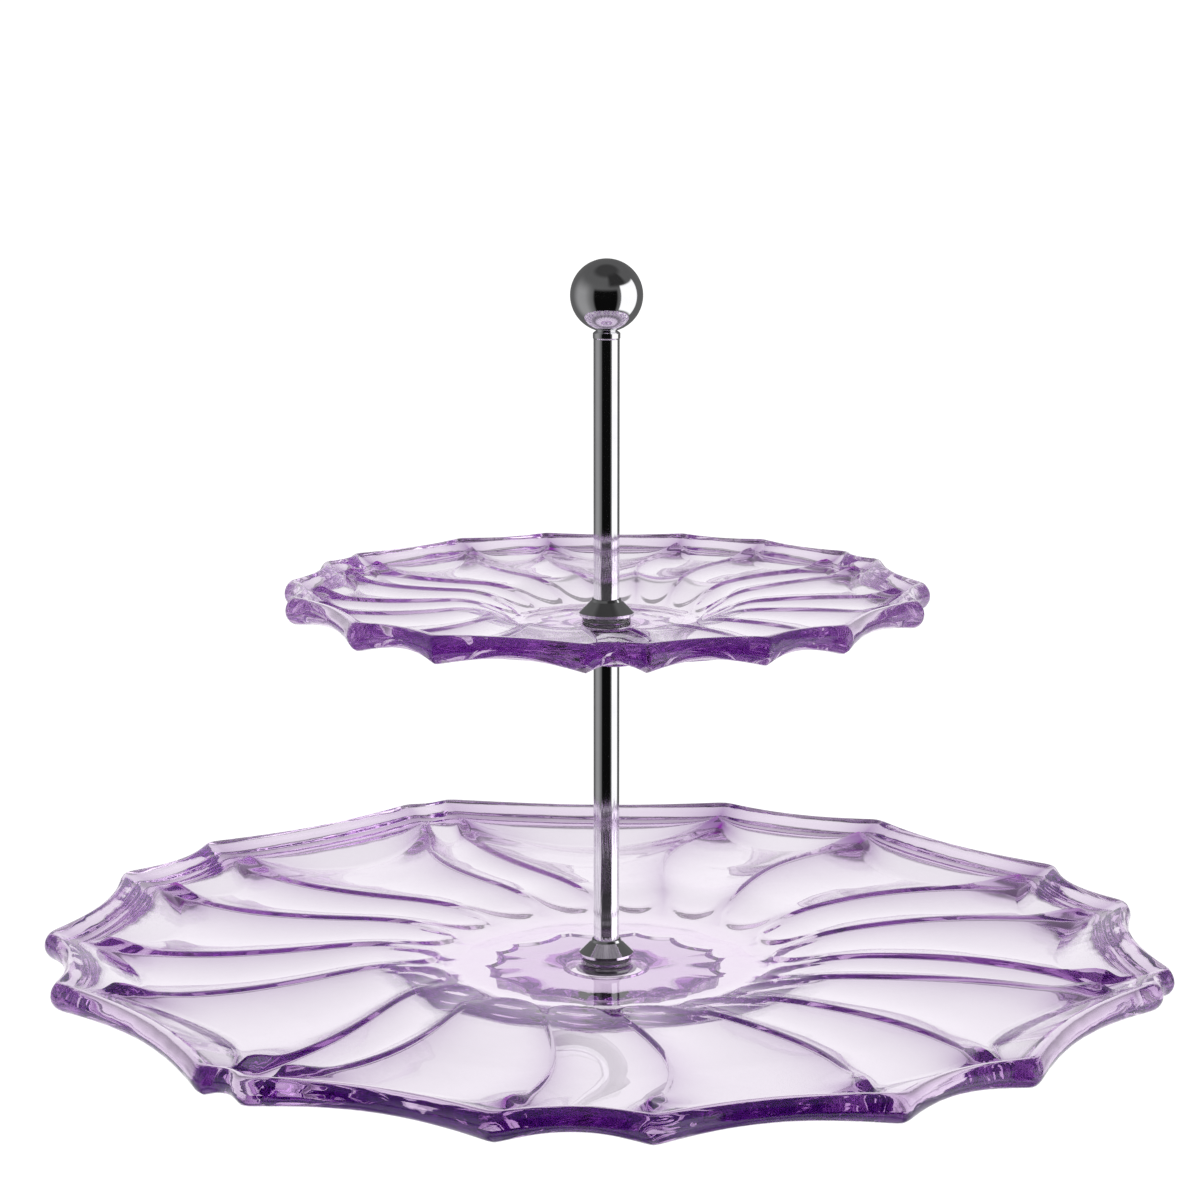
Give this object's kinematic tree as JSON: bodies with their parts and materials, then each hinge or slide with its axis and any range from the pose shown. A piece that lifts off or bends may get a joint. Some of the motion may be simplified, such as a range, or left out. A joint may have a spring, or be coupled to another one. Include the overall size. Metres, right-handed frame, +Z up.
{
  "type": "tiered cake stand",
  "caption": "Tiered glass cake stand: fluted lilac glass plates with pointed scalloped rims on a slim chrome mast with conical collars and a ball finial.",
  "frame": {"origin": "on the table, under the axis of the mast", "axes": "+Z up along the mast; the front faces -Y; +X to the right seen from the front"},
  "size_m": [0.3479, 0.345, 0.2317],
  "materials": {
    "lilac_glass": "polished pressed glass, pale lilac, deep purple where it is thick",
    "chrome": "mirror polished chrome plate",
    "zinc_steel": "zinc plated, satin",
    "plug_brass": "turned, plain",
    "clear_seal": "soft clear plastic",
    "clear_plastic": "clear moulded plastic"
  },
  "bodies": {
    "lower_tier": {"lower_plate": "lilac_glass", "lower_plate_sleeve": "clear_plastic", "lower_seal_over": "clear_seal", "lower_seal_under": "clear_seal"},
    "mast": {"lower_rod": "chrome", "lower_rod_bottom_plug": "plug_brass", "lower_rod_top_plug": "plug_brass", "lower_collar": "chrome", "under_washer": "chrome", "joining_stud": "zinc_steel"},
    "washer_carrier": {"base_washer": "zinc_steel"},
    "screw": {"base_screw": "zinc_steel"},
    "upper_tier": {"upper_plate": "lilac_glass", "upper_plate_sleeve": "clear_plastic", "upper_seal_over": "clear_seal", "upper_seal_under": "clear_seal"},
    "collar_carrier": {"upper_collar": "chrome"},
    "handle": {"upper_rod": "chrome", "upper_rod_bottom_plug": "plug_brass", "upper_rod_top_plug": "plug_brass", "ball_finial": "chrome"}
  },
  "joints": [
    {"name": "mast_turn", "type": "hinge", "parent": "lower_tier", "child": "mast", "pos_m": [0, 0, 0.012], "axis": [0, 0, 1], "continuous": true},
    {"name": "upper_tier_turn", "type": "hinge", "parent": "mast", "child": "upper_tier", "pos_m": [0, 0, 0.1205], "axis": [0, 0, 1], "continuous": true},
    {"name": "handle_lift", "type": "slide", "parent": "mast", "child": "collar_carrier", "axis": [0, 0, 1], "range_m": [0, 0.008]},
    {"name": "handle_unscrew", "type": "hinge", "parent": "collar_carrier", "child": "handle", "pos_m": [0, 0, 0.15], "axis": [0, 0, 1], "range_deg": [0, 3600.1]},
    {"name": "base_screw_drop", "type": "slide", "parent": "mast", "child": "washer_carrier", "axis": [0, 0, -1], "range_m": [0, 0.012]},
    {"name": "base_screw_unscrew", "type": "hinge", "parent": "washer_carrier", "child": "screw", "pos_m": [0, 0, 0.002], "axis": [0, 0, -1], "range_deg": [0, 5400.1]}
  ],
  "couplings": [
    {"joint": "handle_unscrew", "follows": "handle_lift", "rad_per_m": 7854},
    {"joint": "base_screw_unscrew", "follows": "base_screw_drop", "rad_per_m": 7854}
  ]
}
